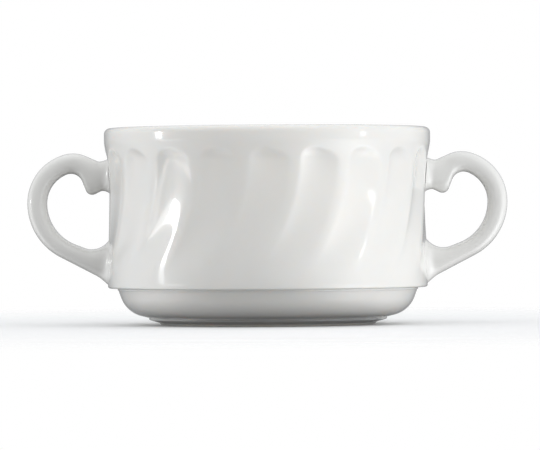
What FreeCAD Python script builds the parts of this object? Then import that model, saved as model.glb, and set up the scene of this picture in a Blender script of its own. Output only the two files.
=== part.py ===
import FreeCAD, Part
import math
import os

from FreeCAD import Vector

# A stackable bouillon cup with two ear handles, in one piece of glazed ceramic.
# Millimetres. Z is up, the origin is on the axis in the plane of the foot, and the handles point along +X and -X.

# Rim and wall
height = 61.5
rim_radius = 51.0
lip_width = 3.6
lip_depth = 4.0            # plain upright part of the rim band, measured from the top
band_round = 0.13          # softness where the upright part meets the flared wall below it
waist_inset = 1.4          # narrowest part of the wall, on the ridges between the flutes, inside the rim
waist_rise = 23.0          # waist above the ledge
skirt_inset = 1.0          # plain wall just above the ledge, inside the rim
skirt_height = 1.9         # plain wall between the ledge and the end of the flutes

# Ledge, lower bowl and foot
ledge_z = 11.5
ledge_round = 0.7
stack_clearance = 0.4      # lower bowl inside the lip of the cup that it is stacked on
collar_height = 0.65       # collar under the ledge, above the lower bowl
collar_step = 0.25         # from the collar in to the lower bowl
bowl_side = 2.35           # height of the lower bowl's straight side
bowl_draft = 20.0          # degrees, lean of that side
bowl_round = 9.0
bowl_slope = 14.0          # degrees, underside of the lower bowl
foot_inset = 9.4           # edge of the foot inside the collar
foot_edge_z = 1.75
foot_groove = 0.8          # depth of the groove above that edge
foot_ring_inset = 4.2      # flat ring that the cup stands on, inside the edge
foot_ring_width = 1.2
foot_ring_height = 0.65
foot_ring_draft = 0.5
foot_recess = 1.5
foot_recess_slope = 2.5    # width of the slope from the ring up to the recess

# Inside
floor_z = 5.4
inside_taper = 2.2         # wall inside, from the lip to its foot
inside_round = 13.0

# Flutes
flute_count = 20
flute_phase = 1.6          # degrees, middle of the first flute from the front, towards +X
flute_cut = 0.6            # deepest line of a flute below the ridges, at the waist
flute_flare = 0.4          # share of the wall's flare that this line follows
flute_skew = 0.2           # its place before the flute's middle, as a share of half the flute
arch_drop = 6.9            # top of the arches below the rim
arch_height = 3.6
arch_width = 14.4
arch_lean = 0.8            # how far the arches lean towards the same side
arch_edge = 0.18           # softness of the arch's edge, as a share of the flute's depth
ridge_round = 0.25         # share of the half flute that rounds over at the ridge
land_height = 9.0          # below the arches, where the land between them narrows to a ridge
fade_height = 19.0         # over which the flutes run out above the skirt
swirl_angle = 18.0         # degrees, from the arches to the end of the flutes
swirl_power = 1.9
flute_columns = 10         # fineness of a flute's skin
arch_step = 0.75
swirl_step = 3.0

# Handles
handle_reach = 24.1        # beyond the rim
handle_top_drop = 7.5      # top of the loop below the rim
handle_width = 8.8
handle_root_width = 10.4
handle_root_length = 8.0   # over which the handle widens towards the wall
handle_round = 3.2         # along the outer edges
root_spare = 0.6           # drawn beyond the handle's ends, and cut off inside the wall
bar_thickness = 6.2        # at the far side of the loop
arm_thickness = 6.6        # upper arm, at the crown
lower_arm_thickness = 6.0
heel_rise = 2.1            # line of the lower arm's underside above the ledge, at the wall
heel_round = 12.0          # hollow in which that underside turns down to the ledge
heel_out = 4.0             # start of this hollow beyond the wall
heel_turn = 14.0           # degrees
crown_turn = 75.0          # degrees, where the crown passes into the shoulder
crown_slope = 24.0         # degrees, fall of the upper arm towards the wall
top_root_round = 2.3       # hollow between the upper arm and the rim band
top_root_offset = 1.4      # its centre beyond the rim
top_root_start = 210.0     # degrees, where the hollow runs into the wall
notch_start = 150.0        # degrees, where the notch above the finger hole runs into the wall
floor_end = -150.0         # degrees, where the hole's floor runs into the wall

# Rounds and places along the loop, as shares of its size: they fit between the heel and the crown
loop_stretch = 2.26        # height of a loop of this shape for its reach inside the far bar
shoulder_share = 0.391
crown_share = 0.2475
sweep_share = 0.4703
hole_share = 0.2389        # far side of the finger hole, above
hole_sweep_share = 0.3416  # and below
dome_share = 0.0953        # its top
dome_turn = 68.0           # degrees, where the far side passes into the top
curl_share = 0.052         # curl that ends the upper arm
curl_out = 0.1287          # its centre beyond the waist
curl_fall = 0.1114         # its centre below the underside of the upper arm
grip_share = 0.0426        # edges of the finger hole: less than the curl that they run round
notch_share = 0.0458       # notch between the curl and the wall
notch_fall = 0.0681        # its centre below the curl's
floor_share = 0.1584       # floor of the finger hole
floor_out = 0.1337         # its centre beyond the waist


def clamp(value):
    return min(max(value, 0.0), 1.0)


def ease(value):
    """Smooth step from 0 to 1."""
    t = clamp(value)
    return t * t * (3.0 - 2.0 * t)


def soft_positive(value, softness):
    """The value where it is positive and nothing elsewhere, with a rounded corner."""
    if value >= softness:
        return value
    if value <= -softness:
        return 0.0
    return (value + softness) ** 2 / (4.0 * softness)


def soft_least(a, b, softness):
    return a - soft_positive(a - b, softness)


rim_inner_radius = rim_radius - lip_width
waist_radius = rim_radius - waist_inset
skirt_radius = rim_radius - skirt_inset
valley_radius = waist_radius - flute_cut
lip_round = lip_width / 2.0
band_end_z = height - lip_depth
waist_z = ledge_z + waist_rise
skirt_top_z = ledge_z + skirt_height
arch_top_z = height - arch_drop
arch_foot_z = arch_top_z - arch_height
pitch = 360.0 / flute_count
root_radius = (rim_inner_radius + valley_radius) / 2.0
root_x = root_radius - root_spare
handle_top_z = height - handle_top_drop
heel = (skirt_radius, ledge_z + heel_rise)
loop = min(handle_top_z - heel[1], (handle_reach - bar_thickness) * loop_stretch)


# Outer wall as a radius over height and angle

def ridge_radius(z):
    """Wall on the ridges: upright at the rim, waisted in the middle, upright above the ledge."""
    if z >= waist_z:
        rise = (z - waist_z) / (band_end_z - waist_z)
        flare = waist_radius + (rim_radius - waist_radius + band_round) * rise ** 3
        return soft_least(flare, rim_radius, band_round)
    return waist_radius + (skirt_radius - waist_radius) * ease((waist_z - z) / (waist_z - skirt_top_z))


def flute_depth(z):
    """Depth of a flute's deepest line below the ridges, run out to nothing above the skirt."""
    flare = ridge_radius(z) - waist_radius
    return (flute_cut + (1.0 - flute_flare) * flare) * ease((z - skirt_top_z) / fade_height)


def across(side):
    """Section of a flute: 0 on its deepest line, 1 on the ridge, round over the ridge."""
    straight = 1.0 - ridge_round
    if side <= straight:
        return side * side / straight
    over = side - straight
    return (straight ** 2 + 2.0 * straight * over - straight * over * over / ridge_round) / straight


def scoop(z, side):
    """Share of the flute's depth that is cut away: side runs from -1 to 1 between two ridges."""
    half_top = arch_width / (math.radians(pitch) * valley_radius)
    narrow = 1.0 - (1.0 - half_top) * ease((z - arch_foot_z + land_height) / land_height)
    lean = arch_lean * side * (1.0 - side * side)
    above = max(0.0, (z + lean - arch_foot_z) / arch_height)
    skewed = side + flute_skew * (1.0 - side * side)
    inside = 1.0 - across(abs(skewed)) / narrow ** 2 - above ** 2
    return soft_positive(inside, arch_edge)


def swirl(z):
    """Degrees that a flute has turned at this height."""
    return -swirl_angle * clamp((arch_foot_z - z) / (arch_foot_z - skirt_top_z)) ** swirl_power


def wall_point(z, side):
    radius = ridge_radius(z) - flute_depth(z) * scoop(z, side)
    angle = math.radians(flute_phase + swirl(z) + side * pitch / 2.0 - 90.0)
    return Vector(radius * math.cos(angle), radius * math.sin(angle), z)


def steps(start, end, size):
    count = max(1, round(abs(end - start) / size))
    return [start + (end - start) * i / count for i in range(count)]


def turned_point(point, degrees):
    a = math.radians(degrees)
    return Vector(point.x * math.cos(a) - point.y * math.sin(a), point.x * math.sin(a) + point.y * math.cos(a), point.z)


def flute_panel():
    """One flute, from ridge to ridge, as a smooth skin over a net of wall points.

    The net runs one column past both ridges, so that each panel meets its neighbours smoothly.
    """
    heights = steps(band_end_z, arch_foot_z, arch_step) + steps(arch_foot_z, skirt_top_z, swirl_step) + [skirt_top_z]
    degree = 3
    outward = degree / (2.0 + math.cos(math.radians(pitch / flute_columns)))
    net = []
    for i in range(-1, flute_columns + 2):
        side = 2.0 * i / flute_columns - 1.0
        beyond = -2.0 if side > 1.0 else 2.0 if side < -1.0 else 0.0
        column = []
        for z in heights:
            p = turned_point(wall_point(z, side + beyond), -beyond * pitch / 2.0)
            column.append(Vector(p.x * outward, p.y * outward, z))
        net.append(column)
    around = [float(i) for i in range(-degree, flute_columns + degree + 1)]
    down = [float(i) for i in range(len(heights) - degree + 1)]
    ends = [degree + 1] + [1] * (len(down) - 2) + [degree + 1]
    surface = Part.BSplineSurface()
    surface.buildFromPolesMultsKnots(net, [1] * len(around), ends, around, down, False, False, degree, degree)
    surface.segment(0.0, float(flute_columns), down[0], down[-1])
    return surface.toShape()


# Sections in the XZ plane, as (x, z) pairs

def at(point):
    return Vector(point[0], 0.0, point[1])


def line(start, end):
    return Part.makeLine(at(start), at(end))


def arc(center, radius, start_angle, end_angle):
    """Arc about a centre, angles in degrees from +X towards +Z."""
    middle = (start_angle + end_angle) / 2.0
    on = [polar(center, radius, angle) for angle in (start_angle, middle, end_angle)]
    return Part.Arc(at(on[0]), at(on[1]), at(on[2])).toShape()


def polar(center, radius, angle):
    a = math.radians(angle)
    return (center[0] + radius * math.cos(a), center[1] + radius * math.sin(a))


def joined(pieces):
    """Wire of the given arcs, in order, with straight lines between their ends."""
    edges = []
    for piece in pieces:
        if edges:
            end = edges[-1].Vertexes[-1].Point
            start = piece.Vertexes[0].Point
            if end.distanceToPoint(start) > 1e-6:
                edges.append(Part.makeLine(end, start))
        edges.append(piece)
    return Part.Wire(edges)


def inside_section():
    """From the top of the flutes over the lip and down the inside to the axis."""
    lip_center = (rim_radius - lip_round, height - lip_round)
    corner = (rim_inner_radius - inside_taper - inside_round, floor_z + inside_round)
    return joined([
        line((rim_radius, band_end_z), (rim_radius, lip_center[1])),
        arc(lip_center, lip_round, 0.0, 180.0),
        arc(corner, inside_round, 0.0, -90.0),
        line((corner[0], floor_z), (0.0, floor_z)),
    ])


def under_section():
    """From the axis under the base, round the foot, up the lower bowl and under the ledge to the skirt."""
    collar_radius = rim_inner_radius - stack_clearance
    bowl_top = (collar_radius - collar_step, ledge_z - collar_height)
    bowl_knee = (bowl_top[0] - bowl_side * math.tan(math.radians(bowl_draft)), bowl_top[1] - bowl_side)
    bowl_center = polar(bowl_knee, bowl_round, 180.0 - bowl_draft)
    bowl_end = polar(bowl_center, bowl_round, bowl_slope - 90.0)
    edge_radius = collar_radius - foot_inset
    groove_radius = edge_radius - foot_groove
    groove_z = bowl_end[1] - (bowl_end[0] - groove_radius) * math.tan(math.radians(bowl_slope))
    ring_radius = edge_radius - foot_ring_inset
    ring_inner = ring_radius - foot_ring_width
    ledge_center = (skirt_radius - ledge_round, ledge_z + ledge_round)
    return joined([
        line((0.0, foot_recess), (ring_inner - foot_recess_slope, foot_recess)),
        line((ring_inner, 0.0), (ring_radius, 0.0)),
        line((ring_radius + foot_ring_draft, foot_ring_height), (edge_radius, foot_edge_z)),
        line((groove_radius, groove_z), bowl_end),
        arc(bowl_center, bowl_round, bowl_slope - 90.0, -bowl_draft),
        line(bowl_knee, bowl_top),
        line((collar_radius, bowl_top[1]), (collar_radius, ledge_z)),
        arc(ledge_center, ledge_round, -90.0, 0.0),
        line((skirt_radius, ledge_center[1]), (skirt_radius, skirt_top_z)),
    ])


def tangent_angle(from_center, from_radius, to_center, to_radius, turn):
    """Angle, seen from the first centre, at which a line leaves one circle to touch the other.

    A negative radius is a circle on the other side of the line. The turn, 1 or -1, picks one of the two lines.
    """
    dx = to_center[0] - from_center[0]
    dz = to_center[1] - from_center[1]
    lean = math.acos((from_radius - to_radius) / math.hypot(dx, dz))
    return math.degrees(math.atan2(dz, dx) + turn * lean)


def into_wall(center, radius, angle):
    """Where the tangent of a circle at this angle meets the plane of the handle's ends."""
    touch = polar(center, radius, angle)
    return (root_x, touch[1] + (touch[0] - root_x) / math.tan(math.radians(angle)))


def handle_outline():
    """Outer and inner line of the handle, each from its upper to its lower root in the wall."""
    far_x = rim_radius + handle_reach
    shoulder_round = shoulder_share * loop
    crown_round = crown_share * loop
    sweep_round = sweep_share * loop
    shoulder = (far_x - shoulder_round, handle_top_z - shoulder_round)
    crown = polar(shoulder, shoulder_round - crown_round, crown_turn)
    crown_end = polar(crown, crown_round, 90.0 + crown_slope)
    slope = math.tan(math.radians(crown_slope))
    hollow_x = rim_radius + top_root_offset
    hollow_z = crown_end[1] - (crown_end[0] - hollow_x) * slope + top_root_round * math.hypot(1.0, slope)
    hollow = (hollow_x, hollow_z)
    hollow_start = polar(hollow, top_root_round, top_root_start)
    sweep = (far_x - sweep_round, shoulder[1])
    sweep_end = tangent_angle(sweep, sweep_round, heel, 0.0, 1.0)
    arm_start = polar(sweep, sweep_round, sweep_end)
    arm_slope = (arm_start[1] - heel[1]) / (arm_start[0] - heel[0])
    heel_start = 90.0 + math.degrees(math.atan(arm_slope))
    heel_touch = (heel[0] + heel_out, heel[1] + heel_out * arm_slope)
    heel_center = polar(heel_touch, heel_round, heel_start + 180.0)
    heel_end = heel_start + heel_turn
    outer = joined([
        line(into_wall(hollow, top_root_round, top_root_start), hollow_start),
        arc(hollow, top_root_round, top_root_start, 270.0 + crown_slope),
        arc(crown, crown_round, 90.0 + crown_slope, crown_turn),
        arc(shoulder, shoulder_round, crown_turn, 0.0),
        arc(sweep, sweep_round, 0.0, sweep_end),
        arc(heel_center, heel_round, heel_start, heel_end),
        line(polar(heel_center, heel_round, heel_end), into_wall(heel_center, heel_round, heel_end)),
    ])

    hole_round = hole_share * loop
    hole_sweep = hole_sweep_share * loop
    dome_round = dome_share * loop
    curl_round = curl_share * loop
    notch_round = notch_share * loop
    floor_round = floor_share * loop
    underside_z = handle_top_z - arm_thickness
    dome_rise = (hole_round - dome_round) * math.sin(math.radians(dome_turn))
    side = (far_x - bar_thickness - hole_round, underside_z - dome_round - dome_rise)
    side_below = (far_x - bar_thickness - hole_sweep, side[1])
    dome = polar(side, hole_round - dome_round, dome_turn)
    curl = (waist_radius + curl_out * loop, underside_z - curl_fall * loop)
    notch = (waist_radius + notch_round, curl[1] - notch_fall * loop)
    floor_x = waist_radius + floor_out * loop
    floor_from_arm = (floor_round + lower_arm_thickness) * math.hypot(1.0, arm_slope)
    floor = (floor_x, heel[1] + (floor_x - heel[0]) * arm_slope + floor_from_arm)
    curl_start = tangent_angle(curl, curl_round, notch, -notch_round, 1.0)
    dome_start = tangent_angle(dome, dome_round, curl, -curl_round, -1.0) % 360.0
    side_end = tangent_angle(side_below, hole_sweep, floor, floor_round, 1.0)
    notch_wall = polar(notch, notch_round, notch_start)
    floor_wall = polar(floor, floor_round, floor_end)
    inner = joined([
        line(into_wall(notch, notch_round, notch_start), notch_wall),
        arc(notch, notch_round, notch_start, curl_start + 180.0),
        arc(curl, curl_round, curl_start, dome_start - 180.0),
        arc(dome, dome_round, dome_start, dome_turn),
        arc(side, hole_round, dome_turn, 0.0),
        arc(side_below, hole_sweep, 0.0, side_end),
        arc(floor, floor_round, side_end, floor_end),
        line(floor_wall, into_wall(floor, floor_round, floor_end)),
    ])
    return outer, inner


def handle_plan():
    """Outline of the handle from above: even along the loop and wider towards the wall."""
    end_x = rim_radius + handle_reach + handle_width
    loop_x = root_x + handle_root_length
    half = handle_width / 2.0
    spread = (handle_root_width - handle_width) / 2.0
    flare = (handle_root_length ** 2 + spread ** 2) / (2.0 * spread)
    turn = math.degrees(math.asin(handle_root_length / flare))
    near = [Vector(*polar((loop_x, half + flare), flare, 270.0 - t), 0.0) for t in (turn, turn / 2.0, 0.0)]
    far = [Vector(p.x, -p.y, 0.0) for p in near]
    edges = [
        Part.Arc(*near).toShape(),
        Part.makeLine(near[2], Vector(end_x, half, 0.0)),
        Part.makeLine(Vector(end_x, half, 0.0), Vector(end_x, -half, 0.0)),
        Part.makeLine(Vector(end_x, -half, 0.0), far[2]),
        Part.Arc(far[2], far[1], far[0]).toShape(),
        Part.makeLine(far[0], near[0]),
    ]
    return Part.Wire(edges)


def on_line(edge, wire):
    """Whether an edge of the handle runs along this line of its outline."""
    middle = edge.valueAt((edge.FirstParameter + edge.LastParameter) / 2.0)
    point = Part.Vertex(Vector(middle.x, 0.0, middle.z))
    return wire.distToShape(point)[0] < 1e-4


def handle():
    outer, inner = handle_outline()
    ends = [outer.OrderedVertexes[0].Point, outer.OrderedVertexes[-1].Point]
    inner_ends = [inner.OrderedVertexes[0].Point, inner.OrderedVertexes[-1].Point]
    closing = [Part.makeLine(ends[1], inner_ends[1]), Part.makeLine(inner_ends[0], ends[0])]
    outline = Part.Face(Part.Wire(Part.__sortEdges__(outer.Edges + inner.Edges + closing)))
    outline.translate(Vector(0.0, -handle_root_width, 0.0))
    plate = outline.extrude(Vector(0.0, 2.0 * handle_root_width, 0.0))
    plan = Part.Face(handle_plan()).extrude(Vector(0.0, 0.0, height))
    blank = plate.common(plan)
    sides = [e for e in blank.Edges if e.BoundBox.XLength > 1e-4 and abs(e.CenterOfMass.y) > handle_width / 4.0]
    solid = blank.makeFillet(handle_round, [e for e in sides if on_line(e, outer)])
    sides = [e for e in solid.Edges if e.BoundBox.XLength > 1e-4 and on_line(e, inner)]
    solid = solid.makeFillet(grip_share * loop, sides)
    return solid.cut(Part.makeCylinder(root_radius, height))


def turned(section):
    return section.revolve(Vector(0, 0, 0), Vector(0, 0, 1), 360.0)


def cup_body():
    panel = flute_panel()
    panels = []
    for i in range(flute_count):
        copy = panel.copy()
        copy.rotate(Vector(0, 0, 0), Vector(0, 0, 1), i * pitch)
        panels.append(copy)
    skin = Part.makeCompound(turned(inside_section()).Faces + turned(under_section()).Faces + panels)
    skin.sewShape(1e-4)
    solid = Part.makeSolid(skin.Shells[0])
    if solid.Volume < 0:
        solid.reverse()
    return solid


def cup():
    solid = cup_body()
    grip = handle()
    other = grip.copy()
    other.rotate(Vector(0, 0, 0), Vector(0, 0, 1), 180.0)
    return solid.multiFuse([grip, other])


if __name__ == "__main__":
    whole = cup()
    print("solids", len(whole.Solids), "valid", whole.isValid(), "volume", whole.Volume, "faces", len(whole.Faces))
    os.makedirs("parts", exist_ok=True)
    whole.Solids[0].exportStep("parts/cup.step")
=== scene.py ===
import math
import bpy
from mathutils import Matrix, Vector


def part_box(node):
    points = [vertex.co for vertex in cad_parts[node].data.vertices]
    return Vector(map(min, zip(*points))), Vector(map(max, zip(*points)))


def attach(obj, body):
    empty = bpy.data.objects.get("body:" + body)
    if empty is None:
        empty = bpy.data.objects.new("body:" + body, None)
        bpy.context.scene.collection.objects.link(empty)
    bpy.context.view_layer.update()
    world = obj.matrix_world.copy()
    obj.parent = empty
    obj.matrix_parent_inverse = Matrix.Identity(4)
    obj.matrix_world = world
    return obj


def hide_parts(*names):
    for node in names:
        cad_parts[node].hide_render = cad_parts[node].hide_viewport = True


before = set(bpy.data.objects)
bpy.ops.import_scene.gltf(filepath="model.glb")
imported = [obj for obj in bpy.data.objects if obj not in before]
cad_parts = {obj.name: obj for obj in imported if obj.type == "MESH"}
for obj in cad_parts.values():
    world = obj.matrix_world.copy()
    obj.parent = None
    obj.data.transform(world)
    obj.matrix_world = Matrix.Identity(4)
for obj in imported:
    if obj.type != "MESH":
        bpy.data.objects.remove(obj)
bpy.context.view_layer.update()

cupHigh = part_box("cup")[1]
print("frame loaded")

# Sizes are in metres and angles in degrees.
# The cup stands on z 0, its axis is the z axis and its handles point along x.
wall = {
    "height": cupHigh[2],
    "rimRadius": cupHigh[1],
    "lipWidth": 0.0036,
    "bandDepth": 0.004,        # upright part of the rim, from the top
    "bandSoft": 0.00013,       # how softly the flare below runs into it
    "flarePower": 3,
    "waistInset": 0.0014,      # waist inside the rim, on the ridges
    "waistZ": 0.0345,
    "skirtInset": 0.001,       # plain wall above the ledge, inside the rim
    "skirtTopZ": 0.0134,
    "mergeGap": 0.00001,       # corners nearer than this become one
}
flutes = {
    "count": 20,
    "phase": 1.6,              # middle of the first flute, from the front towards +x
    "cut": 0.0006,             # depth of the deepest line below the ridges, at the waist
    "flare": 0.4,              # share of the wall's flare that this line follows
    "skew": 0.2,               # its place before the flute's middle, as a share of half the flute
    "archDrop": 0.0069,        # top of the arches below the rim
    "archHeight": 0.0036,
    "archWidth": 0.0144,
    "archLean": 0.0008,        # the more, the further the arch's top leans to that side too
    "archEdge": 0.18,          # softness of the arch's edge, as a share of the depth
    "ridgeRound": 0.25,        # share of the half flute that rounds over at the ridge
    "landHeight": 0.009,       # below the arches, where the land narrows to a ridge
    "fadeHeight": 0.019,
    "swirl": 18.0,
    "swirlPower": 1.9,
    "columns": 24,             # faces across one flute
    "rowHeight": 0.0006,
}
rim = wall["rimRadius"]
waist = rim - wall["waistInset"]
skirt = rim - wall["skirtInset"]
valley = waist - flutes["cut"]
bandEndZ = wall["height"] - wall["bandDepth"]
archFootZ = wall["height"] - flutes["archDrop"] - flutes["archHeight"]
pitch = 360.0 / flutes["count"]


def clamp(value):
    return min(max(value, 0.0), 1.0)


def ease(value):
    t = clamp(value)
    return t * t * (3.0 - 2.0 * t)


def softPositive(value, softness):
    if value >= softness:
        return value
    if value <= -softness:
        return 0.0
    return (value + softness) ** 2 / (4.0 * softness)


# The wall as a radius over height and angle: ridges first, then what the flutes take away
def ridgeRadius(z):
    if z >= wall["waistZ"]:
        rise = (z - wall["waistZ"]) / (bandEndZ - wall["waistZ"])
        flare = waist + (rim - waist + wall["bandSoft"]) * min(rise, 1.0) ** wall["flarePower"]
        return flare - softPositive(flare - rim, wall["bandSoft"])
    return waist + (skirt - waist) * ease((wall["waistZ"] - z) / (wall["waistZ"] - wall["skirtTopZ"]))


def scoop(z, side):
    halfTop = flutes["archWidth"] / (math.radians(pitch) * valley)
    narrow = 1.0 - (1.0 - halfTop) * ease((z - archFootZ + flutes["landHeight"]) / flutes["landHeight"])
    lean = flutes["archLean"] * side * (1.0 - side * side)
    above = max(0.0, (z + lean - archFootZ) / flutes["archHeight"])
    straight = 1.0 - flutes["ridgeRound"]
    skewed = side + flutes["skew"] * (1.0 - side * side)
    across = skewed * skewed / straight
    over = abs(skewed) - straight
    if over > 0.0:
        across = straight + 2.0 * over - over * over / flutes["ridgeRound"]
    return softPositive(1.0 - across / narrow ** 2 - above ** 2, flutes["archEdge"])


def fluteRelief(z, side):
    if z >= bandEndZ:
        return 0.0
    depth = flutes["cut"] + (1.0 - flutes["flare"]) * (ridgeRadius(z) - waist)
    return depth * ease((z - wall["skirtTopZ"]) / flutes["fadeHeight"]) * scoop(z, side)


def swirlAt(z):
    down = clamp((archFootZ - z) / (archFootZ - wall["skirtTopZ"]))
    return -flutes["swirl"] * down ** flutes["swirlPower"]


def reliefAt(z, angle):
    turns = (angle + 90.0 - flutes["phase"] - swirlAt(z)) / pitch
    return fluteRelief(z, 2.0 * (turns - round(turns)))


def polar(center, radius, angle):
    a = math.radians(angle)
    return (center[0] + radius * math.cos(a), center[1] + radius * math.sin(a))


def arcPoints(center, radius, start, end, count):
    return [polar(center, radius, start + (end - start) * i / count) for i in range(count + 1)]


# A line through corners, each with its own round: (radius from the axis, height, round)
def roundedLine(corners, facets):
    points = [corners[0][:2]]
    for i in range(1, len(corners) - 1):
        corner = Vector(corners[i][:2])
        before = (Vector(corners[i - 1][:2]) - corner).normalized()
        after = (Vector(corners[i + 1][:2]) - corner).normalized()
        bend = before.angle(after) / 2.0
        reach = corners[i][2] / math.tan(bend)
        middle = corner + (before + after).normalized() * corners[i][2] / math.sin(bend)
        first, last = corner + before * reach - middle, corner + after * reach - middle
        turn = first.angle_signed(last)
        for k in range(facets + 1):
            a = -turn * k / facets
            points.append((
                middle.x + first.x * math.cos(a) - first.y * math.sin(a),
                middle.y + first.x * math.sin(a) + first.y * math.cos(a),
            ))
    points.append(corners[-1][:2])
    return points


# The points that part the way between two others into equal shares
def spaced(start, end, count):
    dx, dz = end[0] - start[0], end[1] - start[1]
    return [(start[0] + dx * i / count, start[1] + dz * i / count) for i in range(1, count)]


discRings = (0.04, 0.15, 0.3, 0.5, 0.7, 0.85)      # of a flat floor, as shares of its radius
under = {
    "recess": (0.0297, 0.0015, 0.002),     # radius, height and round of each corner of the foot
    "ringInner": (0.0322, 0.0, 0.0004),
    "ringOuter": (0.0334, 0.0, 0.0003),
    "ringSide": (0.0339, 0.00065, 0.0006),
    "footEdge": (0.0376, 0.00175, 0.00022),
    "groove": (0.0368, 0.00214, 0.0002),
    "stackClearance": 0.0004,
    "collarHeight": 0.00065,
    "collarStep": 0.00025,     # from the collar under the ledge in to the lower bowl
    "bowlSide": 0.00235,
    "bowlLean": 20.0,
    "bowlRound": 0.009,
    "bowlSlope": 14.0,
    "ledgeZ": 0.0115,
    "ledgeRound": 0.0007,
    "shelfRound": 0.0003,      # in the corner between the collar and the ledge
    "collarRound": 0.0001,
    "bowlFacets": 14,
    "cornerFacets": 4,
    "slopeRows": 5,
    "sideRows": 3,
    "shelfRows": 3,
}


# Half section from the axis under the base, over the foot and the lower bowl, to where the flutes begin
def underProfile():
    facets = under["cornerFacets"]
    ledgeZ = under["ledgeZ"]
    collar = rim - wall["lipWidth"] - under["stackClearance"]
    top = (collar - under["collarStep"], ledgeZ - under["collarHeight"])
    lean = under["bowlLean"]
    knee = (top[0] - under["bowlSide"] * math.tan(math.radians(lean)), top[1] - under["bowlSide"])
    center = polar(knee, under["bowlRound"], 180.0 - lean)
    bowl = arcPoints(center, under["bowlRound"], under["bowlSlope"] - 90.0, -lean, under["bowlFacets"])
    foot = roundedLine([
        (0.0, under["recess"][1], 0.0),
        under["recess"],
        under["ringInner"],
        under["ringOuter"],
        under["ringSide"],
        under["footEdge"],
        under["groove"],
        bowl[0] + (0.0,),
    ], facets)
    flat = [(foot[1][0] * share, foot[1][1]) for share in discRings]
    slope = spaced(foot[-2], bowl[0], under["slopeRows"])
    ledge = roundedLine([
        bowl[-1] + (0.0,),
        top + (under["collarRound"],),
        (collar, top[1], under["collarRound"]),
        (collar, ledgeZ, under["shelfRound"]),
        (skirt, ledgeZ, under["ledgeRound"]),
        (skirt, wall["skirtTopZ"], 0.0),
    ], facets)
    side = spaced(bowl[-1], ledge[1], under["sideRows"])
    shelfEnd = 3 * (facets + 1) + 1        # first point of the fourth corner, at the ledge's edge
    shelf = spaced(ledge[shelfEnd - 1], ledge[shelfEnd], under["shelfRows"])
    base = foot[:1] + flat + foot[1:-1] + slope
    return base + bowl + side + ledge[1:shelfEnd] + shelf + ledge[shelfEnd:]


inside = {
    "taper": 0.0022,           # by which the inner wall leans in on its way down to the round
    "floorZ": 0.0054,
    "round": 0.013,
    "bandRows": 4,
    "wallRows": 12,
    "lipFacets": 14,
    "roundFacets": 14,
}


# Half section from the band below the lip, round the lip and down to the axis inside
def insideProfile():
    lipRound = wall["lipWidth"] / 2.0
    lipCenter = (rim - lipRound, wall["height"] - lipRound)
    corner = (
        rim - wall["lipWidth"] - inside["taper"] - inside["round"],
        inside["floorZ"] + inside["round"],
    )
    lip = arcPoints(lipCenter, lipRound, 0.0, 180.0, inside["lipFacets"])
    bowl = arcPoints(corner, inside["round"], 0.0, -90.0, inside["roundFacets"])
    band = spaced((rim, bandEndZ), lip[0], inside["bandRows"])
    side = spaced(lip[-1], bowl[0], inside["wallRows"])
    floor = [(bowl[-1][0] * share, inside["floorZ"]) for share in discRings[::-1] + (0.0,)]
    return band + lip + side + bowl + floor


def wallHeights():
    rows = round((bandEndZ - wall["skirtTopZ"]) / flutes["rowHeight"])
    return [wall["skirtTopZ"] + (bandEndZ - wall["skirtTopZ"]) * i / rows for i in range(1, rows + 1)]


origin = (0.0, 0.0, 0.0)


def deselectAll():
    bpy.ops.object.select_all(action="DESELECT")


def selectOnly(piece):
    deselectAll()
    piece.select_set(True)
    bpy.context.view_layer.objects.active = piece


def tidyMesh(piece, distance):
    selectOnly(piece)
    bpy.ops.object.mode_set(mode="EDIT")
    bpy.ops.mesh.select_all(action="SELECT")
    bpy.ops.mesh.remove_doubles(threshold=distance)
    bpy.ops.mesh.normals_make_consistent(inside=False)
    bpy.ops.object.mode_set(mode="OBJECT")
    bpy.ops.object.shade_smooth()


# A grid of faces whose corners are put in place by a rule of (column, row)
def shapedGrid(name, columns, rows, place):
    deselectAll()
    bpy.ops.mesh.primitive_grid_add(
        x_subdivisions=columns,
        y_subdivisions=rows,
        size=2.0,
        location=origin,
    )
    grid = bpy.context.active_object
    grid.name = name
    for vertex in grid.data.vertices:
        column = round((vertex.co.x + 1.0) / 2.0 * columns)
        row = round((vertex.co.y + 1.0) / 2.0 * rows)
        vertex.co = place(column, row)
    return grid


# One flute with the profile above and below it, repeated round the axis
def makeBody():
    below = [(r, z, False) for r, z in underProfile()]
    fluted = [(0.0, z, True) for z in wallHeights()]
    above = [(r, z, False) for r, z in insideProfile()]
    profile = below + fluted + above

    def place(column, row):
        r, z, cut = profile[row]
        side = 2.0 * column / flutes["columns"] - 1.0
        turn = swirlAt(z) if cut or row < len(below) else 0.0
        if cut:
            r = ridgeRadius(z) - fluteRelief(z, side)
        a = math.radians(flutes["phase"] + turn + side * pitch / 2.0 - 90.0)
        return Vector((r * math.cos(a), r * math.sin(a), z))

    body = shapedGrid("cupBody", flutes["columns"], len(profile) - 1, place)
    deselectAll()
    bpy.ops.object.empty_add(location=origin, rotation=(0.0, 0.0, math.radians(pitch)))
    turner = bpy.context.active_object
    selectOnly(body)
    array = body.modifiers.new("flutes", "ARRAY")
    array.count = flutes["count"]
    array.use_relative_offset = False
    array.use_object_offset = True
    array.offset_object = turner
    bpy.ops.object.modifier_apply(modifier="flutes")
    bpy.data.objects.remove(turner)
    tidyMesh(body, wall["mergeGap"])
    return body


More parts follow.
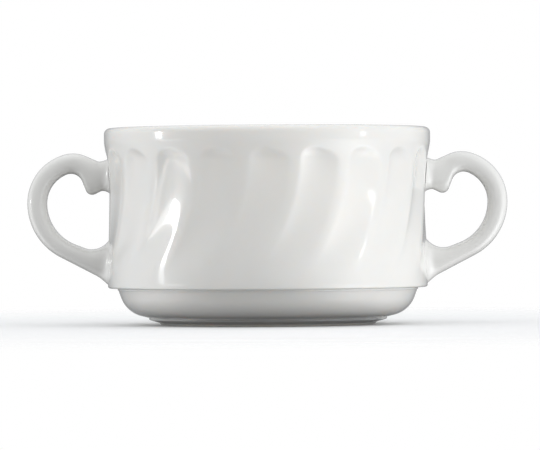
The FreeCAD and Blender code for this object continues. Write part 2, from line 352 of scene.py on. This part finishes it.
handles = {
    "reach": cupHigh[0],           # far side of the loop from the axis
    "topDrop": 0.0075,
    "heelZ": 0.0136,               # line of the lower arm's underside at the wall
    "heelRound": 0.012,            # hollow in which that underside turns down to the ledge
    "heelOut": 0.004,
    "heelTurn": 14.0,
    "width": 0.0088,
    "sectionPower": 2.5,           # 2 is an oval section, more is squarer
    "rootRound": 0.0026,           # round where the loop grows out of the wall
    "bendLength": 0.008,           # over which the loop takes on the wall's curve
    "reliefLength": 0.0016,
    "shoulder": 0.0158,
    "crown": 0.01,
    "crownTurn": 75.0,
    "crownSlope": 24.0,
    "sweep": 0.019,
    "hollow": 0.0023,
    "hollowOut": 0.0014,           # centre of that round beyond the rim
    "hollowStart": 175.0,          # where it runs into the wall
    "barThickness": 0.0062,
    "armThickness": 0.0066,
    "lowerThickness": 0.006,
    "hole": 0.00965,               # far side of the finger hole, above
    "holeSweep": 0.0138,           # and below
    "dome": 0.00385,
    "domeTop": 95.0,               # where the second and the third stretch meet
    "domeTurn": 68.0,
    "curl": 0.0021,
    "curlOut": 0.0052,             # beyond the waist
    "curlFall": 0.0045,            # below the underside of the upper arm
    "notch": 0.00185,
    "notchFall": 0.00275,          # below the curl
    "notchStart": 150.0,           # where the notch runs into the wall
    "floor": 0.0064,
    "floorOut": 0.0054,
    "floorEnd": -172.0,            # where the hole's floor runs into the wall
    "rootDepth": 0.001,            # how far the lines are carried on into the wall
    "rootOverlap": 0.00004,        # how far the loop's ends are sunk in it
    "rootSteps": 400,              # a line is cut near the wall in steps as fine as these
    "heelSteps": 200,
    "arcSteps": {                  # corners of each arc before the rings are spread along it
        "hollow": 16, "crown": 16, "crownEnd": 6, "shoulderStart": 4, "shoulder": 24, "sweep": 32,
        "heel": 12, "notch": 12, "curl": 16, "dome": 10, "side": 24, "sideEnd": 4, "floor": 24,
    },
    "sectionFacets": 36,
    "rootRings": 9,
    "rings": (16, 18, 7, 20, 28, 24),      # on each stretch of the loop
    "mergeGap": 0.000002,
}


def tangentAngle(start, startRound, end, endRound, turn):
    dx, dz = end[0] - start[0], end[1] - start[1]
    lean = math.acos((startRound - endRound) / math.hypot(dx, dz))
    return math.degrees(math.atan2(dz, dx) + turn * lean)


# Carries an arc on into the wall, straight from a point on it at this angle
def intoWall(point, angle):
    x = waist - handles["rootDepth"]
    return (x, point[1] + (point[0] - x) / math.tan(math.radians(angle)))


# Stretches of the loop's outer and inner line, from the upper root to the lower one, read in pairs
def loopStretches():
    h = handles
    steps = h["arcSteps"]
    topZ = wall["height"] - h["topDrop"]
    shoulder = (h["reach"] - h["shoulder"], topZ - h["shoulder"])
    crown = polar(shoulder, h["shoulder"] - h["crown"], h["crownTurn"])
    crownEnd = polar(crown, h["crown"], 90.0 + h["crownSlope"])
    slope = math.tan(math.radians(h["crownSlope"]))
    hollowX = rim + h["hollowOut"]
    hollow = (
        hollowX,
        crownEnd[1] - (crownEnd[0] - hollowX) * slope + h["hollow"] * math.hypot(1.0, slope),
    )
    sweep = (h["reach"] - h["sweep"], shoulder[1])
    heel = (skirt, h["heelZ"])
    sweepEnd = tangentAngle(sweep, h["sweep"], heel, 0.0, 1.0)
    armStart = polar(sweep, h["sweep"], sweepEnd)
    armSlope = (armStart[1] - heel[1]) / (armStart[0] - heel[0])
    heelStart = 90.0 + math.degrees(math.atan(armSlope))
    heelTouch = (heel[0] + h["heelOut"], heel[1] + h["heelOut"] * armSlope)
    heelCenter = polar(heelTouch, h["heelRound"], heelStart + 180.0)
    heelArc = arcPoints(heelCenter, h["heelRound"], heelStart, heelStart + h["heelTurn"], steps["heel"])
    armEnd = intoWall(heelArc[-1], heelStart + h["heelTurn"])
    outer = [
        arcPoints(hollow, h["hollow"], h["hollowStart"], 270.0 + h["crownSlope"], steps["hollow"])
        + [crownEnd],
        arcPoints(crown, h["crown"], 90.0 + h["crownSlope"], 90.0, steps["crown"]),
        arcPoints(crown, h["crown"], 90.0, h["crownTurn"], steps["crownEnd"])
        + arcPoints(shoulder, h["shoulder"], h["crownTurn"], h["domeTurn"], steps["shoulderStart"])[1:],
        arcPoints(shoulder, h["shoulder"], h["domeTurn"], 0.0, steps["shoulder"]),
        arcPoints(sweep, h["sweep"], 0.0, sweepEnd, steps["sweep"]),
        [armStart] + heelArc + [armEnd],
    ]
    undersideZ = topZ - h["armThickness"]
    side = (
        h["reach"] - h["barThickness"] - h["hole"],
        undersideZ - h["dome"] - (h["hole"] - h["dome"]) * math.sin(math.radians(h["domeTurn"])),
    )
    sideBelow = (h["reach"] - h["barThickness"] - h["holeSweep"], side[1])
    dome = polar(side, h["hole"] - h["dome"], h["domeTurn"])
    curl = (waist + h["curlOut"], undersideZ - h["curlFall"])
    notch = (waist + h["notch"], curl[1] - h["notchFall"])
    floorX = waist + h["floorOut"]
    floorRise = (h["floor"] + h["lowerThickness"]) * math.hypot(1.0, armSlope)
    floor = (floorX, heel[1] + (floorX - heel[0]) * armSlope + floorRise)
    curlStart = tangentAngle(curl, h["curl"], notch, -h["notch"], 1.0)
    domeStart = tangentAngle(dome, h["dome"], curl, -h["curl"], -1.0) % 360.0
    sideEnd = tangentAngle(sideBelow, h["holeSweep"], floor, h["floor"], 1.0)
    notchArc = arcPoints(notch, h["notch"], h["notchStart"], curlStart + 180.0, steps["notch"])
    curlArc = arcPoints(curl, h["curl"], curlStart, domeStart - 180.0, steps["curl"])
    inner = [
        [intoWall(notchArc[0], h["notchStart"])] + notchArc + curlArc,
        curlArc[-1:] + arcPoints(dome, h["dome"], domeStart, h["domeTop"], steps["dome"]),
        arcPoints(dome, h["dome"], h["domeTop"], h["domeTurn"], steps["dome"]),
        arcPoints(side, h["hole"], h["domeTurn"], 0.0, steps["side"]),
        arcPoints(sideBelow, h["holeSweep"], 0.0, sweepEnd, steps["sweep"]),
        arcPoints(sideBelow, h["holeSweep"], sweepEnd, sideEnd, steps["sideEnd"])
        + arcPoints(floor, h["floor"], sideEnd, h["floorEnd"], steps["floor"]),
    ]
    return outer, inner


# Points at even distances along a line of points
def evenPoints(line, count):
    lengths = [0.0]
    for a, b in zip(line, line[1:]):
        lengths.append(lengths[-1] + math.dist(a, b))
    points, k = [], 0
    for i in range(count + 1):
        wanted = lengths[-1] * i / count
        while k < len(line) - 2 and lengths[k + 1] < wanted:
            k += 1
        share = (wanted - lengths[k]) / (lengths[k + 1] - lengths[k])
        points.append(tuple(line[k][n] + (line[k + 1][n] - line[k][n]) * share for n in (0, 1)))
    return points


def wallGap(point):
    return point[0] - ridgeRadius(point[1])


# Cuts a line where it is this far from the wall, and keeps the part beyond with the point of the cut
def cutAtGap(line, gap):
    for i in range(len(line) - 1):
        a, b = wallGap(line[i]), wallGap(line[i + 1])
        if a <= gap < b:
            share = (gap - a) / (b - a)
            cut = tuple(line[i][n] + (line[i + 1][n] - line[i][n]) * share for n in (0, 1))
            return [cut] + line[i + 1:]
    raise ValueError("the line doesn't leave the wall")


# The ends of each ring of the loop on its outer and its inner line, from root to root
def loopStations():
    outer, inner = loopStretches()
    rootRound = handles["rootRound"]
    gaps = []
    for k in range(handles["rootRings"] + 1):
        a = math.radians(90.0 * k / handles["rootRings"])
        gaps.append(rootRound * (1.0 - math.cos(a)))
    gaps[0] = -handles["rootOverlap"]

    def rootPairs(outLine, inLine):
        dense = [evenPoints(line, handles["rootSteps"]) for line in (outLine, inLine)]
        return [(cutAtGap(dense[0], gap)[0], cutAtGap(dense[1], gap)[0]) for gap in gaps]

    upper = rootPairs(outer[0], inner[0])
    lower = rootPairs(outer[5][::-1], inner[5][::-1])
    outer[0], inner[0] = cutAtGap(outer[0], rootRound), cutAtGap(inner[0], rootRound)
    outer[5] = cutAtGap(evenPoints(outer[5][::-1], handles["heelSteps"]), rootRound)[::-1]
    inner[5] = cutAtGap(inner[5][::-1], rootRound)[::-1]
    pairs = upper[:-1]
    for outLine, inLine, count in zip(outer, inner, handles["rings"]):
        pairs += list(zip(evenPoints(outLine, count), evenPoints(inLine, count)))[:-1]
    return pairs + lower[::-1]


# The round at the root, as a growth of the section over the gap to the wall
def rootSpread(gap):
    rootRound = handles["rootRound"]
    if gap >= rootRound:
        return 0.0
    return rootRound - math.sqrt(rootRound ** 2 - (rootRound - max(gap, 0.0)) ** 2)


# The loop's rings grow out of the wall, and close to it they follow its curve and its flutes
def makeHandle(name):
    stations = loopStations()
    facets = handles["sectionFacets"]
    power = 2.0 / handles["sectionPower"]

    def place(column, row):
        outPoint, inPoint = stations[row]
        a = 2.0 * math.pi * column / facets
        along = math.copysign(abs(math.cos(a)) ** power, math.cos(a))
        across = math.copysign(abs(math.sin(a)) ** power, math.sin(a))
        x = (outPoint[0] + inPoint[0]) / 2.0 + (outPoint[0] - inPoint[0]) / 2.0 * along
        z = (outPoint[1] + inPoint[1]) / 2.0 + (outPoint[1] - inPoint[1]) / 2.0 * along
        gap = wallGap((x, z))
        y = (handles["width"] / 2.0 + rootSpread(gap)) * across
        bend = 1.0 - ease(gap / handles["bendLength"])
        curved = math.sqrt(max(ridgeRadius(z) ** 2 - y * y, 0.0)) - ridgeRadius(z)
        fit = 1.0 - ease(gap / handles["reliefLength"])
        relief = reliefAt(z, math.degrees(math.atan2(y, x))) * fit
        return Vector((x + bend * curved - relief, y, z))

    handle = shapedGrid(name, facets, len(stations) - 1, place)
    tidyMesh(handle, handles["mergeGap"])
    return handle


def turnedCopy(piece, name, degrees):
    selectOnly(piece)
    bpy.ops.object.duplicate()
    copy = bpy.context.active_object
    copy.name = name
    bpy.ops.object.mode_set(mode="EDIT")
    bpy.ops.mesh.select_all(action="SELECT")
    bpy.ops.transform.rotate(
        value=math.radians(degrees),
        orient_axis="Z",
        orient_type="GLOBAL",
        center_override=origin,
    )
    bpy.ops.object.mode_set(mode="OBJECT")
    return copy


cupBody = makeBody()
print("body made, faces:", len(cupBody.data.polygons))
rightHandle = makeHandle("rightHandle")
leftHandle = turnedCopy(rightHandle, "leftHandle", 180.0)
print("handles made, faces each:", len(rightHandle.data.polygons))


def addNode(tree, kind, place, **values):
    node = tree.nodes.new(kind)
    node.location = place
    for key, value in values.items():
        setattr(node, key, value)
    return node


def newGroup(name, inputs, outputs):
    group = bpy.data.node_groups.new(name, "ShaderNodeTree")
    for label, kind, value in inputs:
        socket = group.interface.new_socket(label, in_out="INPUT", socket_type=kind)
        if value is not None:
            socket.default_value = value
    for label, kind in outputs:
        group.interface.new_socket(label, in_out="OUTPUT", socket_type=kind)
    return group


# Slow drift between two tones, as where a glaze lies thicker and thinner
def makeToneDrift():
    group = newGroup(
        "toneDrift",
        [
            ("Vector", "NodeSocketVector", None),
            ("Scale", "NodeSocketFloat", 40.0),
            ("Light", "NodeSocketColor", (1.0, 1.0, 1.0, 1.0)),
            ("Dark", "NodeSocketColor", (0.9, 0.9, 0.9, 1.0)),
        ],
        [("Color", "NodeSocketColor")],
    )
    start = addNode(group, "NodeGroupInput", (-700, 0))
    end = addNode(group, "NodeGroupOutput", (500, 0))
    noise = addNode(group, "ShaderNodeTexNoise", (-450, 100))
    noise.inputs["Detail"].default_value = 3.0
    spread = addNode(group, "ShaderNodeMapRange", (-200, 100))
    spread.inputs["From Min"].default_value = 0.35
    spread.inputs["From Max"].default_value = 0.65
    mix = addNode(group, "ShaderNodeMix", (150, 0), data_type="RGBA")
    link = group.links.new
    link(start.outputs["Vector"], noise.inputs["Vector"])
    link(start.outputs["Scale"], noise.inputs["Scale"])
    link(noise.outputs["Fac"], spread.inputs["Value"])
    link(spread.outputs["Result"], mix.inputs["Factor"])
    link(start.outputs["Dark"], mix.inputs[6])
    link(start.outputs["Light"], mix.inputs[7])
    link(mix.outputs[2], end.inputs["Color"])
    return group


# Small pits and specks of the fired surface: a mask that is 1 in a speck
def makeSpecks():
    group = newGroup(
        "firedSpecks",
        [
            ("Vector", "NodeSocketVector", None),
            ("Scale", "NodeSocketFloat", 300.0),
            ("Size", "NodeSocketFloat", 0.1),
            ("Amount", "NodeSocketFloat", 0.1),
        ],
        [("Mask", "NodeSocketFloat")],
    )
    start = addNode(group, "NodeGroupInput", (-900, 0))
    end = addNode(group, "NodeGroupOutput", (500, 0))
    cells = addNode(group, "ShaderNodeTexVoronoi", (-650, 100))
    near = addNode(group, "ShaderNodeMath", (-400, 150), operation="LESS_THAN")
    tone = addNode(group, "ShaderNodeSeparateColor", (-400, -50))
    some = addNode(group, "ShaderNodeMath", (-150, -50), operation="LESS_THAN")
    both = addNode(group, "ShaderNodeMath", (150, 50), operation="MULTIPLY")
    link = group.links.new
    link(start.outputs["Vector"], cells.inputs["Vector"])
    link(start.outputs["Scale"], cells.inputs["Scale"])
    link(cells.outputs["Distance"], near.inputs[0])
    link(start.outputs["Size"], near.inputs[1])
    link(cells.outputs["Color"], tone.inputs["Color"])
    link(tone.outputs["Red"], some.inputs[0])
    link(start.outputs["Amount"], some.inputs[1])
    link(near.outputs["Value"], both.inputs[0])
    link(some.outputs["Value"], both.inputs[1])
    link(both.outputs["Value"], end.inputs["Mask"])
    return group


toneDrift = makeToneDrift()
firedSpecks = makeSpecks()


def newMaterial(name):
    material = bpy.data.materials.new(name)
    material.use_nodes = True
    tree = material.node_tree
    tree.nodes.clear()
    output = addNode(tree, "ShaderNodeOutputMaterial", (900, 0))
    shader = addNode(tree, "ShaderNodeBsdfPrincipled", (550, 0))
    tree.links.new(shader.outputs["BSDF"], output.inputs["Surface"])
    spot = addNode(tree, "ShaderNodeTexCoord", (-1200, 0)).outputs["Object"]
    return material, tree, shader, spot


def groupNode(tree, group, place, spot, **values):
    node = addNode(tree, "ShaderNodeGroup", place, node_tree=group)
    tree.links.new(spot, node.inputs["Vector"])
    for key, value in values.items():
        node.inputs[key].default_value = value
    return node


# The tones and specks of a material, from the values of its look
def firedSurface(tree, spot, look):
    drift = groupNode(
        tree, toneDrift, (-700, 250), spot,
        Scale=look["driftScale"], Light=look["light"], Dark=look["dark"],
    )
    specks = groupNode(
        tree, firedSpecks, (-700, 0), spot,
        Scale=look["speckScale"], Size=look["speckSize"], Amount=look["speckAmount"],
    )
    return drift, specks


glazeLook = {
    "light": (0.80, 0.79, 0.765, 1.0),
    "dark": (0.765, 0.757, 0.735, 1.0),
    "driftScale": 28.0,
    "roughness": 0.16,
    "roughnessSpread": 0.05,
    "roughnessScale": 84.0,
    "ior": 1.5,
    "specular": 0.3,
    "glow": 0.0022,            # how far light spreads in the body below the glaze
    "glowTint": (1.0, 0.9, 0.8),
    "glowFrom": 0.0085,        # none this near to the plane of the handles, where the pieces meet
    "glowTo": 0.016,           # and all of it beyond this
    "coatRoughness": 0.035,
    "rippleScale": 70.0,
    "rippleHeight": 0.00002,
    "grainScale": 900.0,
    "grainHeight": 0.0000012,
    "speckScale": 260.0,
    "speckSize": 0.05,
    "speckAmount": 0.018,
    "speckColor": (0.42, 0.38, 0.33, 1.0),
}


# Clear coat over a body that lets a little light through, with slow ripples, fine grain and few specks
def makeGlaze():
    look = glazeLook
    material, tree, shader, spot = newMaterial("whiteGlaze")
    link = tree.links.new
    drift, specks = firedSurface(tree, spot, look)
    speckMix = addNode(tree, "ShaderNodeMix", (-200, 250), data_type="RGBA")
    speckMix.inputs[7].default_value = look["speckColor"]
    link(specks.outputs["Mask"], speckMix.inputs["Factor"])
    link(drift.outputs["Color"], speckMix.inputs[6])
    link(speckMix.outputs[2], shader.inputs["Base Color"])
    cloud = addNode(tree, "ShaderNodeTexNoise", (-700, -250))
    cloud.inputs["Scale"].default_value = look["roughnessScale"]
    link(spot, cloud.inputs["Vector"])
    gloss = addNode(tree, "ShaderNodeMapRange", (-200, -50))
    gloss.inputs["To Min"].default_value = look["roughness"] - look["roughnessSpread"]
    gloss.inputs["To Max"].default_value = look["roughness"] + look["roughnessSpread"]
    link(cloud.outputs["Fac"], gloss.inputs["Value"])
    link(gloss.outputs["Result"], shader.inputs["Roughness"])
    ripple = addNode(tree, "ShaderNodeTexNoise", (-700, -500))
    ripple.inputs["Scale"].default_value = look["rippleScale"]
    ripple.inputs["Detail"].default_value = 1.0
    grain = addNode(tree, "ShaderNodeTexNoise", (-700, -750))
    grain.inputs["Scale"].default_value = look["grainScale"]
    link(spot, ripple.inputs["Vector"])
    link(spot, grain.inputs["Vector"])
    rippleBump = addNode(tree, "ShaderNodeBump", (-200, -450))
    rippleBump.inputs["Distance"].default_value = look["rippleHeight"]
    grainBump = addNode(tree, "ShaderNodeBump", (150, -500))
    grainBump.inputs["Distance"].default_value = look["grainHeight"]
    link(ripple.outputs["Fac"], rippleBump.inputs["Height"])
    link(grain.outputs["Fac"], grainBump.inputs["Height"])
    link(rippleBump.outputs["Normal"], grainBump.inputs["Normal"])
    link(grainBump.outputs["Normal"], shader.inputs["Normal"])
    shader.inputs["IOR"].default_value = look["ior"]
    shader.inputs["Specular IOR Level"].default_value = look["specular"]
    axes = addNode(tree, "ShaderNodeSeparateXYZ", (-700, 500))
    aside = addNode(tree, "ShaderNodeMath", (-450, 500), operation="ABSOLUTE")
    glow = addNode(tree, "ShaderNodeMapRange", (-200, 500), interpolation_type="SMOOTHSTEP")
    glow.inputs["From Min"].default_value = look["glowFrom"]
    glow.inputs["From Max"].default_value = look["glowTo"]
    link(spot, axes.inputs["Vector"])
    link(axes.outputs["Y"], aside.inputs[0])
    link(aside.outputs["Value"], glow.inputs["Value"])
    link(glow.outputs["Result"], shader.inputs["Subsurface Weight"])
    shader.inputs["Subsurface Scale"].default_value = look["glow"]
    shader.inputs["Subsurface Radius"].default_value = look["glowTint"]
    shader.inputs["Coat Weight"].default_value = 1.0
    shader.inputs["Coat Roughness"].default_value = look["coatRoughness"]
    shader.inputs["Coat IOR"].default_value = look["ior"]
    return material


bareLook = {
    "light": (0.70, 0.66, 0.60, 1.0),
    "dark": (0.60, 0.56, 0.50, 1.0),
    "driftScale": 120.0,
    "speckScale": 900.0,
    "speckSize": 0.25,
    "speckAmount": 0.25,
    "pitDepth": 0.00003,
    "roughness": 0.75,
    "topZ": 0.0002,            # faces of the ring up to this height are bare
}


# The ring that the cup stands on is wiped clean of glaze
def makeBare():
    look = bareLook
    material, tree, shader, spot = newMaterial("bareFoot")
    link = tree.links.new
    drift, specks = firedSurface(tree, spot, look)
    link(drift.outputs["Color"], shader.inputs["Base Color"])
    pits = addNode(tree, "ShaderNodeBump", (-200, -100), invert=True)
    pits.inputs["Distance"].default_value = look["pitDepth"]
    link(specks.outputs["Mask"], pits.inputs["Height"])
    link(pits.outputs["Normal"], shader.inputs["Normal"])
    shader.inputs["Roughness"].default_value = look["roughness"]
    return material


whiteGlaze = makeGlaze()
bareFoot = makeBare()
for piece in (cupBody, rightHandle, leftHandle):
    piece.data.materials.clear()
    piece.data.materials.append(whiteGlaze)
cupBody.data.materials.append(bareFoot)
for face in cupBody.data.polygons:
    if face.center.z < bareLook["topZ"]:
        face.material_index = 1
print("materials made")

for piece in (cupBody, rightHandle, leftHandle):
    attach(piece, "root")
    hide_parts("cup")


studio = {
    "floorRadius": 0.9,
    "floorSides": 96,
    "floorColor": (0.95, 0.95, 0.95, 1.0),
    "floorRoughness": 0.6,
    "floorSpecular": 0.1,
    "fadeCenter": (0.0, 0.0, 0.0),
    "fadeFrom": 0.06,          # the floor fades into the white background between these distances
    "fadeTo": 0.32,
    "paintedShadeColor": (0.42, 0.42, 0.42, 1.0),     # painted shade: the floor as the cup sees it is a grey disc, which keeps light from below off the foot and darkens it
    "shadeCenter": (0.0, -0.02, 0.0),          # light from below off the foot
    "shadeFrom": 0.03,
    "shadeTo": 0.062,
    "background": (1.0, 1.0, 1.0, 1.0),
    "roomTint": (0.97, 0.985, 1.0, 1.0),
}


# The camera sees the pale floor with its wide fade, and all other light meets only the grey disc, which
# is painted shade under the cup that darkens its foot
def makeFloor():
    deselectAll()
    bpy.ops.mesh.primitive_circle_add(
        vertices=studio["floorSides"],
        radius=studio["floorRadius"],
        fill_type="NGON",
        location=origin,
    )
    floor = bpy.context.active_object
    floor.name = "floor"
    material, tree, shader, spot = newMaterial("paleFloor")
    link = tree.links.new
    alpha = addNode(tree, "ShaderNodeMix", (100, -300))
    for i, name in enumerate(("shade", "fade")):
        down = -200 - 300 * i
        away = addNode(tree, "ShaderNodeVectorMath", (-900, down), operation="DISTANCE")
        away.inputs[1].default_value = studio[name + "Center"]
        link(spot, away.inputs[0])
        fade = addNode(tree, "ShaderNodeMapRange", (-500, down), interpolation_type="SMOOTHSTEP")
        fade.inputs["From Min"].default_value = studio[name + "From"]
        fade.inputs["From Max"].default_value = studio[name + "To"]
        fade.inputs["To Min"].default_value = 1.0
        fade.inputs["To Max"].default_value = 0.0
        link(away.outputs["Value"], fade.inputs["Value"])
        link(fade.outputs["Result"], alpha.inputs[2 + i])
    path = addNode(tree, "ShaderNodeLightPath", (-200, 200))
    link(path.outputs["Is Camera Ray"], alpha.inputs["Factor"])
    link(alpha.outputs["Result"], shader.inputs["Alpha"])
    # painted shade: rays other than the camera's see the floor as a grey disc under the cup
    tone = addNode(tree, "ShaderNodeMix", (200, 200), data_type="RGBA")
    tone.inputs[6].default_value = studio["paintedShadeColor"]
    tone.inputs[7].default_value = studio["floorColor"]
    link(path.outputs["Is Camera Ray"], tone.inputs["Factor"])
    link(tone.outputs[2], shader.inputs["Base Color"])
    shader.inputs["Roughness"].default_value = studio["floorRoughness"]
    shader.inputs["Specular IOR Level"].default_value = studio["floorSpecular"]
    floor.data.materials.append(material)


lights = {
    # azimuth from the front towards +x, height angle, distance, width, height, watts
    "leftUpper": (-80.6, 4.0, 1.5, 0.15, 0.12, 1.3),
    "leftMiddle": (-80.6, 0.0, 1.5, 0.15, 0.08, 0.1),
    "leftLower": (-70.0, -3.9, 1.5, 0.5, 0.07, 0.2),
    "right": (70.0, 2.6, 1.5, 0.15, 0.04, 0.07),
}
glows = {
    # soft light of the room: azimuth, height angle, narrowness, strength
    "sky": (0.0, 90.0, 1.0, 0.39),
    "skyHigh": (0.0, 90.0, 3.0, 0.93),
    "frontHigh": (20.0, 30.0, 8.0, 0.21),
    "right": (60.0, 0.0, 16.0, 0.75),
    "rightLow": (60.0, -32.0, 20.0, 2.9),
    "rightHigh": (60.0, 35.0, 16.0, 0.1),
    "rightSide": (90.0, 0.0, 16.0, 0.16),
    "rightSideLow": (90.0, -35.0, 16.0, 0.7),
    "rightBack": (120.0, 0.0, 16.0, 0.26),
    "left": (-90.0, 0.0, 16.0, 0.68),
    "leftLow": (-88.0, -32.0, 16.0, 1.62),
    "leftBack": (-120.0, 0.0, 16.0, 0.36),
}


def directionTo(azimuth, climb):
    a, c = math.radians(azimuth), math.radians(climb)
    return Vector((math.sin(a) * math.cos(c), -math.cos(a) * math.cos(c), math.sin(c)))


def addLights():
    target = Vector((0.0, 0.0, wall["height"] / 2.0))
    for name, (azimuth, climb, distance, width, tall, watts) in lights.items():
        offset = directionTo(azimuth, climb) * distance
        deselectAll()
        bpy.ops.object.light_add(type="AREA", location=target + offset)
        lamp = bpy.context.active_object
        lamp.name = name
        lamp.rotation_euler = (-offset).to_track_quat("-Z", "Y").to_euler()
        lamp.data.shape = "RECTANGLE"
        lamp.data.size = width
        lamp.data.size_y = tall
        lamp.data.energy = watts


# The room's soft light is a sum of broad glows, each strongest in its own direction.
# The camera sees the plain background instead.
def paintWorld():
    world = bpy.data.worlds.new("studio")
    bpy.context.scene.world = world
    world.use_nodes = True
    tree = world.node_tree
    tree.nodes.clear()
    link = tree.links.new
    direction = addNode(tree, "ShaderNodeTexCoord", (-1400, 0)).outputs["Generated"]
    total = None
    for i, (azimuth, climb, narrowness, strength) in enumerate(glows.values()):
        down = -220 * i
        toward = addNode(tree, "ShaderNodeVectorMath", (-1100, down), operation="DOT_PRODUCT")
        toward.inputs[1].default_value = directionTo(azimuth, climb)
        half = addNode(tree, "ShaderNodeMath", (-850, down), operation="MULTIPLY_ADD", use_clamp=True)
        half.inputs[1].default_value = 0.5
        half.inputs[2].default_value = 0.5
        narrow = addNode(tree, "ShaderNodeMath", (-600, down), operation="POWER")
        narrow.inputs[1].default_value = narrowness
        scale = addNode(tree, "ShaderNodeMath", (-350, down), operation="MULTIPLY_ADD")
        scale.inputs[1].default_value = strength
        scale.inputs[2].default_value = 0.0
        link(direction, toward.inputs[0])
        link(toward.outputs["Value"], half.inputs[0])
        link(half.outputs["Value"], narrow.inputs[0])
        link(narrow.outputs["Value"], scale.inputs[0])
        if total is not None:
            link(total, scale.inputs[2])
        total = scale.outputs["Value"]
    output = addNode(tree, "ShaderNodeOutputWorld", (700, 0))
    seen = addNode(tree, "ShaderNodeBackground", (200, 150))
    seen.inputs["Color"].default_value = studio["background"]
    soft = addNode(tree, "ShaderNodeBackground", (200, -100))
    soft.inputs["Color"].default_value = studio["roomTint"]
    link(total, soft.inputs["Strength"])
    path = addNode(tree, "ShaderNodeLightPath", (200, 450))
    mix = addNode(tree, "ShaderNodeMixShader", (450, 0))
    link(path.outputs["Is Camera Ray"], mix.inputs["Fac"])
    link(soft.outputs["Background"], mix.inputs[1])
    link(seen.outputs["Background"], mix.inputs[2])
    link(mix.outputs["Shader"], output.inputs["Surface"])


view = {
    "distance": 1.45,
    "eyeZ": 0.032,
    "aim": (0.00078, 0.0, 0.03104),
    "frameWidth": 0.169,       # seen at the cup's axis
    "roll": 0.006,             # radians
    "sensorWidth": 36.0,       # millimetres
    "clipStart": 0.01,
    "clipEnd": 20.0,
}


def addCamera():
    eye = Vector((view["aim"][0], -view["distance"], view["eyeZ"]))
    look = Vector(view["aim"]) - eye
    deselectAll()
    bpy.ops.object.camera_add(location=eye)
    camera = bpy.context.active_object
    turn = look.to_track_quat("-Z", "Y").to_matrix() @ Matrix.Rotation(-view["roll"], 3, "Z")
    camera.rotation_euler = turn.to_euler()
    camera.data.sensor_width = view["sensorWidth"]
    camera.data.lens = view["sensorWidth"] * look.length / view["frameWidth"]
    camera.data.clip_start = view["clipStart"]
    camera.data.clip_end = view["clipEnd"]
    bpy.context.scene.camera = camera


makeFloor()
addLights()
paintWorld()
addCamera()
bpy.context.scene.view_settings.view_transform = "Standard"
print("studio made")
